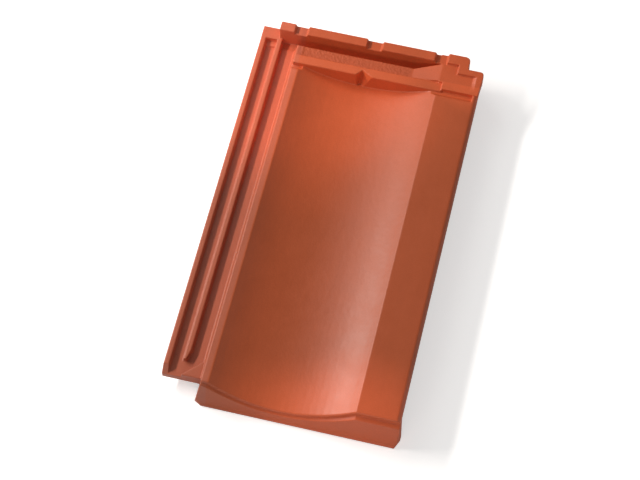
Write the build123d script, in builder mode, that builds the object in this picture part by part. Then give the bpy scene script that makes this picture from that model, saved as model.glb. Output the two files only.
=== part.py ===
from build123d import *
import os

# Pressed clay roof tile: one wide trough, a flat crown that covers the next tile's lock, a side
# lock with two grooves, a lock across the head and a skirt turned down across the foot.
# +X runs towards the crown, +Y up the roof to the head and +Z away from the roof.
# Places on the tile are measured from its left foot corner, where x, y and z are 0. The origin
# of the finished tile is under the middle of its box, on the floor that it lies on.
os.makedirs("parts", exist_ok=True)

# Driving dimensions in millimetres
length = 467.0
width = 260.2
crown_z = 41.0
shell = 12.0
draft = 1.0
soft_edge = 1.0

# Trough: a round channel between the ridge on the left and the crown on the right
trough_left = 53.5
trough_right = 213.0
trough_mid = 132.0
trough_z = 16.5
ridge_left = 45.5
ridge_z = 36.5
crest_radius = 3.0

# Side lock: outer rim, outer groove, rib, inner groove, and the step up to the ridge
rim_width = 6.0
rim_z = 28.0
rib_left = 19.5
rib_right = 25.0
rib_tip = 22.3
lock_floor = 21.0
lock_under = 13.0
step_foot = 41.0
riser = 1.5
strip_foot = 19.0

# Crown: the covering flange, with two ribs below it that hang in the next tile's grooves
crown_edge = 5.0
flange_under = crown_z - shell + draft
inner_rib = (231.5, 238.5, 24.0)
outer_rib = (251.0, 22.0)

# Nose: the deck's front edge, an upright wall that bows forward across the trough, with its
# places along the tile at the ridge, the middle of the trough and the crown
nose_y = (13.0, 6.6, 14.5)
nose_round = 12.0
nose_edge = 1.8

# Skirt: slopes forward from a shoulder under the nose to a bead along its foot, and flares out
# at both ends. The shoulder drops towards the front: these are its depths below the deck at the
# ridge, the left of the trough, its middle and the crown, first at the back and then in front
skirt_top = 11.5
skirt_foot = 2.0
skirt_thick = 14.0
skirt_left = 39.0
skirt_right = 262.4
shoulder_y = 14.5
shoulder_back = (1.0, 5.0, 2.2, 6.0)
shoulder_front = (5.0, 9.0, 5.5, 11.5)
bead_height = 4.0
bead_groove = 1.2
left_snip = (8.0, 4.2)
right_snip = (4.6, 10.4)

# Head lock: wall of the trough, lip, rough ledge, groove and rail, from front to back
wall_y = 419.0
ledge_y = 430.0
groove_y = 443.5
rail_y = 454.6
rail_back = 466.0
lip_z = 39.5
ledge_z = 36.0
rail_z = 45.2
rail_left = 21.6
head_floor = 20.2
groove_taper = 2.0
notch_z = 41.0
notch_slope = 1.3
notches = ((38.6, 54.6), (123.0, 142.0), (203.0, 218.2))

# Right head corner: a pad inside a raised rim, and the ramp that leads down from it
ramp_left = 181.5
ramp_right = 213.5
groove_end = 210.0
pad_left = 218.0
pad_y = 421.0
pad_z = 42.5
corner_z = 46.0
corner_right = 243.2
corner_inner = 232.0
ear_y = 451.0
ear_right = 261.6
ear_inner = 443.5
ear_slope = (250.5, 254.5)
ear_top = (45.5, 42.6)
rim_fade = 18.0
corner_radius = 5.5
ear_radius = 4.0

# Drip groove across the crown and the ridge, in front of the head lock
drip_start = 412.0
drip_run = 4.0
drip_depth = 3.8
drip_right = 254.5

# Water notch in the lip: left end, point and right end at the top, and its ends at the foot
water_notch_top = (119.5, 126.0, 138.5)
water_notch_foot = (120.5, 122.5, 128.5)
water_notch_depth = (7.3, 3.0)

# Foot of the side lock: the rib's slanted end, the rim's slope and a three-cornered pad
rib_foot = (38.0, 49.5)
rim_slope = (9.5, 8.0)
foot_pad = 20.5

# Nibs: two lugs under the head that hook over the batten
nib_centres = (70.0, 190.0)
nib_width = 38.0
nib_front = 436.0
nib_back = 454.0

middle = skirt_right / 2
under_left = 52.5
under_right = trough_right + shell / 2
flare = (skirt_right - width) / crown_z


def across(y):
    """Upright plane across the tile: its own x and y are the tile's x and z."""
    return Plane(origin=(-middle, y - length / 2, 0), x_dir=(1, 0, 0), z_dir=(0, -1, 0))


def along(x):
    """Upright plane along the tile: its own x and y are the tile's y and z."""
    return Plane(origin=(x - middle, -length / 2, 0), x_dir=(0, 1, 0), z_dir=(1, 0, 0))


def level(z):
    """Level plane at a height above the floor."""
    return Plane(origin=(-middle, -length / 2, z))


def corners(*points):
    """The corners of the sketch in hand that lie nearest to the given points."""
    return [vertices().sort_by_distance((x, y, 0))[0] for x, y in points]


with BuildPart() as skirt:
    # The deck's outline, lowered to the shoulder and filled down to the floor
    for y, depths in (
        (0, shoulder_front),
        (shoulder_y, shoulder_back),
        (shoulder_y + skirt_thick, shoulder_back),
    ):
        ridge_depth, left_depth, trough_depth, crown_depth = depths
        with BuildSketch(across(y)):
            with BuildLine():
                Polyline(
                    (trough_left + crest_radius, ridge_z - left_depth),
                    (ridge_left, ridge_z - ridge_depth),
                    (skirt_left, 0),
                    (skirt_right, 0),
                    (width + flare * crown_depth, crown_z - crown_depth),
                    (trough_right, crown_z - crown_depth),
                )
                ThreePointArc(
                    (trough_left + crest_radius, ridge_z - left_depth),
                    (trough_mid, trough_z - trough_depth),
                    (trough_right, crown_z - crown_depth),
                )
            make_face()
    loft(ruled=True)

    # Cut from the side to its face, with the bead along the foot, and from above at its corners
    with BuildSketch(along(0)):
        with BuildLine():
            Polyline(
                (0, 0),
                (0, bead_height - draft),
                (draft, bead_height),
                (skirt_foot + bead_groove, bead_height),
                (skirt_foot, bead_height + draft),
                (skirt_top, crown_z),
                (skirt_top + skirt_thick, crown_z),
                (skirt_foot + skirt_thick, 0),
                close=True,
            )
        make_face()
    extrude(amount=skirt_right, mode=Mode.INTERSECT)
    with BuildSketch(level(0)):
        with BuildLine():
            Polyline(
                (skirt_left, 0),
                (skirt_left + left_snip[0], 0),
                (skirt_left, left_snip[1]),
                close=True,
            )
        make_face()
        with BuildLine():
            Polyline(
                (skirt_right, 0),
                (skirt_right - right_snip[0], 0),
                (skirt_right, right_snip[1]),
                close=True,
            )
        make_face()
    extrude(amount=crown_z, mode=Mode.SUBTRACT)

with BuildPart() as roof_tile:
    # Deck: ridge, trough and crown as one shell, from the nose to the wall at the head
    with BuildSketch(across(0)):
        with BuildLine():
            Polyline((ridge_left, lock_under), (ridge_left, ridge_z), (trough_left, ridge_z))
            ThreePointArc((trough_left, ridge_z), (trough_mid, trough_z), (trough_right, crown_z))
            Polyline(
                (trough_right, crown_z),
                (width, crown_z),
                (width, outer_rib[1]),
                (outer_rib[0] + draft, outer_rib[1]),
                (outer_rib[0], flange_under),
                (inner_rib[1], flange_under),
                (inner_rib[1] - draft, inner_rib[2]),
                (inner_rib[0] + draft, inner_rib[2]),
                (inner_rib[0], flange_under),
                (under_right, flange_under),
            )
            ThreePointArc(
                (under_right, flange_under),
                (trough_mid, trough_z - shell),
                (under_left, ridge_z - shell - draft),
            )
            Polyline(
                (under_left, ridge_z - shell - draft),
                (under_left - 2 * draft, lock_under),
                (ridge_left, lock_under),
            )
        make_face()
        fillet(corners((trough_left, ridge_z), (trough_right, crown_z)), crest_radius)
        fillet(corners((width, crown_z)), crown_edge)
    extrude(amount=-ear_y)
    with BuildSketch(level(0)):
        with BuildLine():
            Polyline((trough_left, nose_y[0]), (ridge_left, nose_y[0]), (ridge_left, ear_y))
            Polyline((ridge_left, ear_y), (width, ear_y), (width, nose_y[2]), (trough_right, nose_y[2]))
            ThreePointArc(
                (trough_left, nose_y[0]),
                (trough_mid, nose_y[1]),
                (trough_right, nose_y[2]),
            )
        make_face()
        fillet(corners((trough_left, nose_y[0]), (trough_right, nose_y[2])), nose_round)
    extrude(amount=crown_z, mode=Mode.INTERSECT)
    front = edges().filter_by(lambda edge: edge.center().Y < nose_y[2] + draft - length / 2)
    across_trough = front.filter_by(lambda edge: edge.center().Z > trough_z - draft)
    crests = front.filter_by(lambda edge: edge.center().Z > ridge_z - draft)
    fillet(across_trough.sort_by(SortBy.LENGTH)[-1:] + crests, nose_edge)
    add(skirt.part)

    # Side lock: the grooved strip, from its own foot up to the head
    with BuildSketch(across(strip_foot)):
        with BuildLine():
            Polyline(
                (0, lock_under),
                (0, rim_z),
                (rim_width, rim_z),
                (rim_width + draft, lock_floor),
                (rib_left - draft, lock_floor),
                (rib_left, rim_z),
                (rib_right, rim_z),
                (rib_right + draft, lock_floor),
                (step_foot, lock_floor),
                (ridge_left, ridge_z),
                (ridge_left + draft, ridge_z),
                (ridge_left + draft, lock_under),
                close=True,
            )
        make_face()
        lock_tops = [(0, rim_z), (rim_width, rim_z), (rib_left, rim_z), (rib_right, rim_z)]
        fillet(corners(*lock_tops), soft_edge)
    extrude(amount=-(rail_back - strip_foot))

    # Foot of the side lock: the rib stops short, the rim runs down and a pad fills the corner
    with BuildSketch(level(lock_floor)):
        with BuildLine():
            Polyline(
                (rib_left - draft, strip_foot),
                (rib_left - draft, rib_foot[0]),
                (rib_tip, rib_foot[0]),
                (rib_right, rib_foot[1]),
                (step_foot - draft, rib_foot[1]),
                (step_foot - draft, strip_foot),
                close=True,
            )
        make_face()
    extrude(amount=rim_z, mode=Mode.SUBTRACT)
    with BuildSketch(along(0)):
        with BuildLine():
            Polyline(
                (strip_foot, rim_z - rim_slope[1]),
                (strip_foot + rim_slope[0], rim_z),
                (strip_foot, rim_z),
                close=True,
            )
        make_face()
    extrude(amount=rim_width + draft, mode=Mode.SUBTRACT)
    with BuildSketch(level(lock_floor)):
        with BuildLine():
            Polyline(
                (step_foot + draft - foot_pad, strip_foot),
                (step_foot + draft, strip_foot),
                (step_foot + draft, strip_foot + foot_pad),
                close=True,
            )
        make_face()
    extrude(amount=rim_z - lock_floor)

    # Drip groove: a shallow dip across the crown and the ridge
    for top, left, right in (
        (crown_z, trough_right - 2 * drip_run, drip_right),
        (ridge_z, step_foot, trough_left + drip_run),
    ):
        with BuildSketch(along(left)):
            with BuildLine():
                Polyline(
                    (drip_start, top),
                    (drip_start + drip_run, top - drip_depth),
                    (pad_y, top - drip_depth),
                    (pad_y, top),
                    close=True,
                )
            make_face()
        extrude(amount=right - left, mode=Mode.SUBTRACT)

    # The crown ends in front of the pad, and the lip runs on to the pad's left side
    with BuildSketch(level(lip_z)):
        with BuildLine():
            Polyline(
                (trough_right - 2 * drip_run, pad_y),
                (trough_right - 2 * drip_run, ear_y),
                (pad_left, ear_y),
                (pad_left, pad_y),
                close=True,
            )
        make_face()
    extrude(amount=crown_z - lip_z, mode=Mode.SUBTRACT)

    # Head lock: wall, lip and rough ledge, and the rail behind them, over a flat underside
    with BuildSketch(along(ridge_left)):
        with BuildLine():
            Polyline(
                (wall_y, lock_under),
                (wall_y, lip_z),
                (ledge_y, lip_z),
                (ledge_y + draft, ledge_z),
                (rail_y, ledge_z),
                (rail_y, lock_under),
                close=True,
            )
        make_face()
        fillet(corners((wall_y, lip_z), (ledge_y, lip_z)), soft_edge)
    extrude(amount=pad_left - ridge_left)
    with BuildSketch(along(rail_left)):
        with BuildLine():
            Polyline(
                (rail_y - draft, lock_under),
                (rail_y - draft, lock_floor),
                (rail_y, rail_z),
                (rail_back, rail_z),
                (rail_back, lock_under),
                close=True,
            )
        make_face()
        fillet(corners((rail_y, rail_z), (rail_back, rail_z)), soft_edge)
    extrude(amount=pad_left - rail_left)
    with BuildSketch(across(rail_back)):
        with BuildLine():
            Polyline(
                (0, lock_under),
                (0, rim_z),
                (rail_left, rim_z),
                (rail_left, lock_under),
                close=True,
            )
        make_face()
    extrude(amount=rail_back - ear_y)
    with BuildSketch(across(rail_y)):
        with BuildLine():
            Polyline(
                (rim_width, lock_under),
                (rim_width, lock_floor + riser),
                (rib_left, lock_floor + riser),
                (rib_left, lock_under),
                close=True,
            )
        make_face()
    extrude(amount=rail_y - groove_y)

    # Right head corner: pad, raised rim and the ramp up to the pad from the ledge
    with BuildSketch(level(flange_under)):
        with BuildLine():
            Polyline(
                (pad_left, pad_y),
                (width, pad_y),
                (ear_right, ear_y),
                (corner_right, ear_y),
                (corner_right, length),
                (groove_end, length),
                (groove_end, rail_y),
                (ramp_right, rail_y),
                (ramp_right, ledge_y),
                (pad_left, ledge_y),
                close=True,
            )
        make_face()
        fillet(corners((corner_right, length)), corner_radius)
        fillet(corners((ear_right, ear_y)), ear_radius)
    extrude(amount=pad_z - flange_under)
    with BuildSketch(level(flange_under)):
        with BuildLine():
            Polyline(
                (groove_end, rail_y),
                (groove_end, length),
                (corner_right, length),
                (corner_right, ear_y),
                (ear_right, ear_y),
                (ear_right, ear_inner),
                (corner_inner, ear_inner),
                (corner_inner, rail_y),
                close=True,
            )
        make_face()
        fillet(corners((corner_right, length)), corner_radius)
        fillet(corners((ear_right, ear_y)), ear_radius)
    extrude(amount=corner_z - flange_under)
    for y, top, right in (
        (ear_inner, ear_top[0], ear_right),
        (ear_inner - rim_fade, ear_top[1], width),
    ):
        with BuildSketch(across(y)):
            with BuildLine():
                Polyline(
                    (ear_slope[0], flange_under),
                    (ear_slope[0], pad_z),
                    (ear_slope[1], top),
                    (right, top),
                    (right, flange_under),
                    close=True,
                )
            make_face()
    loft()
    with BuildSketch(across(ledge_y + draft)):
        with BuildLine():
            Polyline(
                (ramp_left, ledge_z - draft),
                (ramp_left, ledge_z),
                (ramp_right, pad_z),
                (ramp_right, ledge_z - draft),
                close=True,
            )
        make_face()
    extrude(amount=-(rail_y - ledge_y - draft))

    # Head groove: runs out to the left into the side lock and ends on the right in a slant
    with BuildSketch(level(head_floor)):
        with BuildLine():
            Polyline(
                (rib_right + draft, groove_y + draft),
                (ramp_left, groove_y + draft),
                (groove_end, rail_y - draft),
                (rib_right + draft, rail_y - draft),
                close=True,
            )
        make_face()
    extrude(amount=corner_z - head_floor, taper=-groove_taper, mode=Mode.SUBTRACT)

    # Notches across the rail, and the water notch in the lip
    for start, end in notches:
        with BuildSketch(across(length)):
            with BuildLine():
                Polyline(
                    (start, rail_z),
                    (start + notch_slope, notch_z),
                    (end - notch_slope, notch_z),
                    (end, rail_z),
                    (end, corner_z),
                    (start, corner_z),
                    close=True,
                )
            make_face()
        extrude(amount=length - rail_y + draft, mode=Mode.SUBTRACT)
    for height, ends, depth in (
        (trough_z, water_notch_foot, water_notch_depth[1]),
        (lip_z, water_notch_top, water_notch_depth[0]),
    ):
        with BuildSketch(level(height)):
            with BuildLine():
                Polyline((ends[0], wall_y), (ends[1], wall_y + depth), (ends[2], wall_y), close=True)
            make_face()
    loft(mode=Mode.SUBTRACT)

    # Underside of the head: flat at the lock's depth, with a nib on each side of the middle
    with BuildSketch(level(0)):
        with BuildLine():
            Polyline(
                (0, wall_y + shell),
                (0, length),
                (pad_left, length),
                (pad_left, wall_y + shell),
                close=True,
            )
        make_face()
    extrude(amount=lock_under, mode=Mode.SUBTRACT)
    for centre in nib_centres:
        with BuildSketch(along(centre - nib_width / 2)):
            with BuildLine():
                Polyline(
                    (nib_front, lock_under),
                    (nib_front, 0),
                    (nib_back - 3 * draft, 0),
                    (nib_back, lock_under),
                    close=True,
                )
            make_face()
        extrude(amount=nib_width)

roof_tile.part.label = "roof_tile"
export_step(roof_tile.part, "parts/roof_tile.step")
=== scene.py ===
from math import radians

import bpy
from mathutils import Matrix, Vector


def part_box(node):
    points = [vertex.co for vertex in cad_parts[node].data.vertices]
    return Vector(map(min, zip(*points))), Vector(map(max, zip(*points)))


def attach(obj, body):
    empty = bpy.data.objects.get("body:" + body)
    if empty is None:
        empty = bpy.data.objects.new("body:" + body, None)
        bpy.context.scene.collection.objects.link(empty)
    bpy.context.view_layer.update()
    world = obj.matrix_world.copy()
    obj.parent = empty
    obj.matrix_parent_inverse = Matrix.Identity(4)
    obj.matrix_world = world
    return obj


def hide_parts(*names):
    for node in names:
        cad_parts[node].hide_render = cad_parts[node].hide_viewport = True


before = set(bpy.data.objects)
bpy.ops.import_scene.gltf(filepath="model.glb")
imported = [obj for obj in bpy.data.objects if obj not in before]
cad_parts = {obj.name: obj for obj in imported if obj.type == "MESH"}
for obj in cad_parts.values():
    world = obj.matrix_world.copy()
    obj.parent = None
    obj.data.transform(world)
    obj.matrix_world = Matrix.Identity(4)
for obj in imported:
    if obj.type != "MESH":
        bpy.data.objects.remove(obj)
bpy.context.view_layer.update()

# Roof tile: one piece of fired clay, 262 x 467 x 46 mm, pressed between two moulds, dipped in red
# slip and laid flat. The press leaves every edge and inner corner slightly round, and a rough
# band on the ledge behind the lip, where the next tile up the roof lies.
MM = 0.001
weld = 0.01 * MM
press_grain = 0.55 * MM
press_rounds = 2
triangle_limit = 190000
foot_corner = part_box("roof_tile")[0]
ledge = {"x": (48.0, 178.0), "y": (431.5, 444.0), "z": (35.0, 37.0)}
ledge_grain = 1.8 * MM
ledge_relief = 0.8 * MM
ledge_level = 0.6
trough = {"x": (59.0, 203.0), "y": (18.0, 430.0)}
trough_rounds = 160
faces_up = 0.6
runs_level = 0.1

bpy.ops.object.select_all(action="DESELECT")
cad_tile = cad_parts["roof_tile"]
bpy.context.view_layer.objects.active = cad_tile
cad_tile.select_set(True)
bpy.ops.object.duplicate()
tile = bpy.context.active_object
tile.name = tile.data.name = "pressed_tile"
tile.parent = None
bpy.ops.object.mode_set(mode="EDIT")
bpy.ops.mesh.select_all(action="SELECT")
bpy.ops.mesh.remove_doubles(threshold=weld)
bpy.ops.object.mode_set(mode="OBJECT")


def finish_with(piece, kind, **settings):
    """Adds a modifier with its settings to a piece and applies it."""
    modifier = piece.modifiers.new(kind.lower(), kind)
    for name, value in settings.items():
        setattr(modifier, name, value)
    bpy.context.view_layer.objects.active = piece
    bpy.ops.object.modifier_apply(modifier=modifier.name)


def lies_in(place, part):
    """Whether a place in millimetres from the tile's foot corner lies inside a part of it."""
    return all(start < getattr(place, axis) < end for axis, (start, end) in part.items())


finish_with(tile, "REMESH", mode="VOXEL", voxel_size=press_grain, adaptivity=0.0)
finish_with(tile, "SMOOTH", factor=0.5, iterations=press_rounds)

rough_band = tile.vertex_groups.new(name="ledge")
smooth_channel = tile.vertex_groups.new(name="trough")
for vertex in tile.data.vertices:
    place = (vertex.co - foot_corner) / MM
    if lies_in(place, ledge):
        rough_band.add([vertex.index], 1.0, "REPLACE")
    elif lies_in(place, trough):
        if vertex.normal.z > faces_up and abs(vertex.normal.y) < runs_level:
            smooth_channel.add([vertex.index], 1.0, "REPLACE")
finish_with(tile, "SMOOTH", factor=0.5, iterations=trough_rounds, vertex_group="trough")
grit = bpy.data.textures.new("ledge_grit", "CLOUDS")
grit.noise_scale = ledge_grain
grit.noise_depth = 2
finish_with(
    tile,
    "DISPLACE",
    texture=grit,
    texture_coords="LOCAL",
    vertex_group="ledge",
    strength=ledge_relief,
    mid_level=ledge_level,
)
triangles = 2 * len(tile.data.polygons)
finish_with(tile, "DECIMATE", ratio=triangle_limit / triangles)
bpy.ops.object.shade_smooth()


def hex_colour(text):
    """An sRGB hex colour as the linear colour that Blender's nodes take."""
    channels = [int(text[i : i + 2], 16) / 255 for i in (0, 2, 4)]
    return [c / 12.92 if c <= 0.04045 else ((c + 0.055) / 1.055) ** 2.4 for c in channels] + [1]


def add_node(tree, kind, inputs=(), **settings):
    """Adds a node with its settings and inputs, each a value or a (node, output) pair.

    The inputs are a list in the node's own order, or a dict by name or number.
    """
    node = tree.nodes.new(kind)
    for name, value in settings.items():
        setattr(node, name, value)
    for socket, value in inputs.items() if isinstance(inputs, dict) else enumerate(inputs):
        if isinstance(value, tuple) and isinstance(value[0], bpy.types.Node):
            tree.links.new(value[0].outputs[value[1]], node.inputs[socket])
        else:
            node.inputs[socket].default_value = value
    return node


# Clay under a thin red slip: silky, brown where the kiln burnt it hard and orange-red where it
# stayed cooler, at the head and at the foot's right end. The slip doesn't reach the underside,
# where the clay is bare and dull.
slip_brown = "A64E2A"
slip_orange = "CE5D34"
# Painted sheen: the side lock's colours are paler than the deck's and stand in for the whitish
# shine of the lamps on the lock.
lock_brown_painted_sheen = "A35338"
lock_orange_painted_sheen = "CB6242"
raw_clay = "B5694A"
clay_ior = 1.5
slip_gloss = (0.4, 0.46)
bare_dullness = 0.35
ledge_dullness = 0.25
cool_patches = (
    {"centre": (30.0, 430.0), "radii": (215.0, 165.0), "edge": (1.52, 0.75)},
    {"centre": (198.0, -10.0), "radii": (104.0, 80.0), "edge": (1.65, 0.7)},
    {"centre": (245.0, 460.0), "radii": (80.0, 60.0), "edge": (1.55, 0.75)},
)
raggedness = 0.5

clay = bpy.data.materials.new("engobed_clay")
clay.use_nodes = True
tree = clay.node_tree
tree.nodes.clear()
surface = add_node(tree, "ShaderNodeTexCoord")
position = add_node(tree, "ShaderNodeSeparateXYZ", [(surface, "Object")])

# The places of a Mix node's two colours and of the colour that it gives
FIRST, SECOND, MIXED = 6, 7, 2


def clay_pattern(size, detail=2.0, stretch=(1.0, 1.0, 1.0), roughness=0.5):
    """A pattern in the clay whose features have a size in metres, stretched along the axes."""
    scale = [1 / (size * s) for s in stretch]
    scaled = add_node(
        tree, "ShaderNodeMapping", {"Vector": (surface, "Object"), "Scale": scale}
    )
    return add_node(
        tree,
        "ShaderNodeTexNoise",
        {"Vector": (scaled, "Vector"), "Scale": 1.0, "Detail": detail, "Roughness": roughness},
    )


wander = clay_pattern(90 * MM, detail=3.0)


def cool_patch(centre, radii, edge):
    """Fades from 0 to 1 towards a patch's centre, along an edge that wanders."""
    scale = [1 / (radius * MM) for radius in radii]
    middle = [-(foot_corner[i] + centre[i] * MM) * scale[i] for i in (0, 1)]
    around = add_node(
        tree,
        "ShaderNodeMapping",
        {"Vector": (surface, "Object"), "Scale": (*scale, 0.0), "Location": (*middle, 0.0)},
    )
    reach = add_node(tree, "ShaderNodeVectorMath", [(around, "Vector")], operation="LENGTH")
    ragged = add_node(
        tree,
        "ShaderNodeMath",
        [(wander, "Fac"), raggedness, (reach, "Value")],
        operation="MULTIPLY_ADD",
    )
    return add_node(
        tree,
        "ShaderNodeMapRange",
        {"Value": (ragged, "Value"), "From Min": edge[0], "From Max": edge[1]},
        interpolation_type="SMOOTHSTEP",
    )


def band(axis, start, end, fade):
    """1 between two places in millimetres along an axis of the tile, fading to 0 outside."""
    sides = []
    for place, beyond in ((start, 1.0), (end, 0.0)):
        place = getattr(foot_corner, axis.lower()) + place * MM
        side = add_node(
            tree,
            "ShaderNodeMapRange",
            {
                "Value": (position, axis),
                "From Min": place - fade * MM,
                "From Max": place + fade * MM,
                "To Min": 1.0 - beyond,
                "To Max": beyond,
            },
            interpolation_type="SMOOTHSTEP",
        )
        sides.append((side, "Result"))
    return add_node(tree, "ShaderNodeMath", sides, operation="MULTIPLY")


def overlap(*patterns):
    """Where two patterns meet."""
    pair = [(pattern, "Value") for pattern in patterns]
    return add_node(tree, "ShaderNodeMath", pair, operation="MULTIPLY")


head, foot, corner = [(cool_patch(**patch), "Result") for patch in cool_patches]
cool = add_node(tree, "ShaderNodeMath", [head, foot], operation="MAXIMUM")
cool = add_node(tree, "ShaderNodeMath", [(cool, "Value"), corner], operation="MAXIMUM")
deck_slip, lock_painted_sheen = [
    add_node(
        tree,
        "ShaderNodeMix",
        {0: (cool, "Value"), FIRST: hex_colour(brown), SECOND: hex_colour(orange)},
        data_type="RGBA",
    )
    for brown, orange in ((slip_brown, slip_orange), (lock_brown_painted_sheen, lock_orange_painted_sheen))
]
# Painted sheen: the strip along the left edge, the side lock, takes the paler colours.
lock_sheen_band = band("X", -20.0, 52.0, 1.5)
fired = add_node(
    tree,
    "ShaderNodeMix",
    {0: (lock_sheen_band, "Value"), FIRST: (deck_slip, MIXED), SECOND: (lock_painted_sheen, MIXED)},
    data_type="RGBA",
)
hot = add_node(tree, "ShaderNodeMath", [1.0, (cool, "Value")], operation="SUBTRACT")
# Painted shade: the trough's bottom, 100 to 165 mm across, is darker, less so where the patches
# turn it orange.
trough_painted_shade = overlap(band("X", 100.0, 165.0, 24.0), hot)
ledge_band = overlap(band("X", 46.0, 180.0, 2.0), band("Y", 430.5, 444.0, 0.8))
head_band = overlap(band("X", 47.0, 300.0, 1.5), band("Y", 431.0, 500.0, 1.0))

# Clouds of thicker and thinner slip, faint streaks along the press, and single darker grains. Real
# grains are about 0.3 mm, too fine to show, so they are drawn four times as coarse.
cloud = clay_pattern(22 * MM, detail=4.0)
streak = clay_pattern(9 * MM, stretch=(1.0, 16.0, 1.0))
grain = clay_pattern(1.2 * MM, detail=2.0, roughness=0.65)
tone = 0.9
for pattern, amount in (
    ((cloud, "Fac"), 0.14),
    ((streak, "Fac"), 0.08),
    ((grain, "Fac"), 0.26),
    # painted shade on the trough's bottom
    ((trough_painted_shade, "Value"), -0.1),
    ((ledge_band, "Value"), -0.14),
    ((head_band, "Value"), -0.14),
):
    step = add_node(tree, "ShaderNodeMath", [pattern, amount, tone], operation="MULTIPLY_ADD")
    tone = (step, "Value")
slip = add_node(tree, "ShaderNodeHueSaturation", {"Color": (fired, MIXED), "Value": tone})
facing = add_node(tree, "ShaderNodeSeparateXYZ", [(surface, "Normal")])
underside = add_node(
    tree,
    "ShaderNodeMapRange",
    {"Value": (facing, "Z"), "From Min": -0.25, "From Max": -0.7},
    interpolation_type="SMOOTHSTEP",
)
skin = add_node(
    tree,
    "ShaderNodeMix",
    {0: (underside, "Result"), FIRST: (slip, "Color"), SECOND: hex_colour(raw_clay)},
    data_type="RGBA",
)
silk = add_node(
    tree,
    "ShaderNodeMapRange",
    {
        "Value": (cloud, "Fac"),
        "From Min": 0.3,
        "From Max": 0.7,
        "To Min": slip_gloss[0],
        "To Max": slip_gloss[1],
    },
    interpolation_type="LINEAR",
)
dull = (silk, "Result")
for pattern, amount in (
    ((underside, "Result"), bare_dullness),
    ((ledge_band, "Value"), ledge_dullness),
):
    step = add_node(tree, "ShaderNodeMath", [pattern, amount, dull], operation="MULTIPLY_ADD")
    dull = (step, "Value")

# Relief: fine grains of sand under the slip, over the shallow dimples of the plaster mould
dimple = clay_pattern(7 * MM, detail=3.0)
sand = add_node(
    tree,
    "ShaderNodeBump",
    {"Height": (grain, "Fac"), "Strength": 0.5, "Distance": 0.12 * MM},
)
relief = add_node(
    tree,
    "ShaderNodeBump",
    {
        "Height": (dimple, "Fac"),
        "Normal": (sand, "Normal"),
        "Strength": 0.5,
        "Distance": 0.35 * MM,
    },
)
shader = add_node(
    tree,
    "ShaderNodeBsdfPrincipled",
    {"Base Color": (skin, MIXED), "Roughness": dull, "Normal": (relief, "Normal"), "IOR": clay_ior},
)
add_node(tree, "ShaderNodeOutputMaterial", {"Surface": (shader, "BSDF")})
tile.data.materials.clear()
tile.data.materials.append(clay)

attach(tile, "root")
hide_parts("roof_tile")

# Floor: a plain white studio floor that keeps the tile's soft shadow. The camera sees it a little
# brighter than the lamps make it, so that it ends in white without more light on the tile.
floor_white = "F2F2F2"
floor_lift = 0.5

bpy.ops.object.select_all(action="DESELECT")
bpy.ops.mesh.primitive_plane_add(size=30.0, location=(0, 0, 0))
floor = bpy.context.active_object
floor.name = "studio_floor"
paper = bpy.data.materials.new("white_paper")
paper.use_nodes = True
tree = paper.node_tree
tree.nodes.clear()
ray = add_node(tree, "ShaderNodeLightPath")
paper_white = add_node(tree, "ShaderNodeBsdfDiffuse", {"Color": hex_colour(floor_white)})
lift = add_node(
    tree, "ShaderNodeMath", [(ray, "Is Camera Ray"), floor_lift], operation="MULTIPLY"
)
glow = add_node(
    tree, "ShaderNodeEmission", {"Strength": (lift, "Value"), "Color": hex_colour("FFFFFF")}
)
lit_paper = add_node(tree, "ShaderNodeAddShader", [(paper_white, "BSDF"), (glow, "Emission")])
add_node(tree, "ShaderNodeOutputMaterial", {"Surface": (lit_paper, "Shader")})
floor.data.materials.append(paper)

# Light: an even white room and five windows that face the tile's middle. The long strip low on
# the left draws the shadows in the grooves. Each window's width is level and its height upright.
room_white = "FFFFFF"
room_strength = 0.15
window_white = "FFF9F3"
windows = (
    # name, place, width, height, power
    ("strip_light", (-1.2, 0.15, 0.9), 1.0, 0.1, 20.5),
    ("back_window", (-0.75, 0.65, 0.8), 0.8, 0.7, 2.2),
    ("top_window", (-0.42, 0.52, 0.75), 0.35, 0.5, 0.65),
    ("fill_window", (1.3, 0.1, 0.6), 1.2, 0.6, 2.6),
    ("front_window", (0.0, -1.5, 0.6), 1.2, 0.5, 4.2),
)

world = bpy.data.worlds.new("studio")
bpy.context.scene.world = world
world.use_nodes = True
room = world.node_tree.nodes["Background"]
room.inputs["Color"].default_value = hex_colour(room_white)
room.inputs["Strength"].default_value = room_strength
for name, place, width, height, power in windows:
    bpy.ops.object.light_add(type="AREA", location=place)
    lamp = bpy.context.active_object
    lamp.name = name
    lamp.data.shape = "RECTANGLE"
    lamp.data.size = width
    lamp.data.size_y = height
    lamp.data.energy = power
    lamp.data.color = hex_colour(window_white)[:3]
    lamp.rotation_euler = (-Vector(place)).to_track_quat("-Z", "Y").to_euler()

# Camera: above the foot of the tile and a little to its right, as the photograph looks down on
# it, steeply and through a long lens
camera_place = (0.232035, -1.008226, 1.993358)
looks_down = 62.763
turned = 13.459
sensor = 36.0
lens = 113.49

camera_data = bpy.data.cameras.new("camera")
camera = bpy.data.objects.new("camera", camera_data)
bpy.context.scene.collection.objects.link(camera)
camera.location = camera_place
camera.rotation_euler = (radians(90 - looks_down), 0, radians(turned))
camera_data.sensor_width = sensor
camera_data.lens = lens
bpy.context.scene.camera = camera
bpy.context.scene.view_settings.view_transform = "Standard"
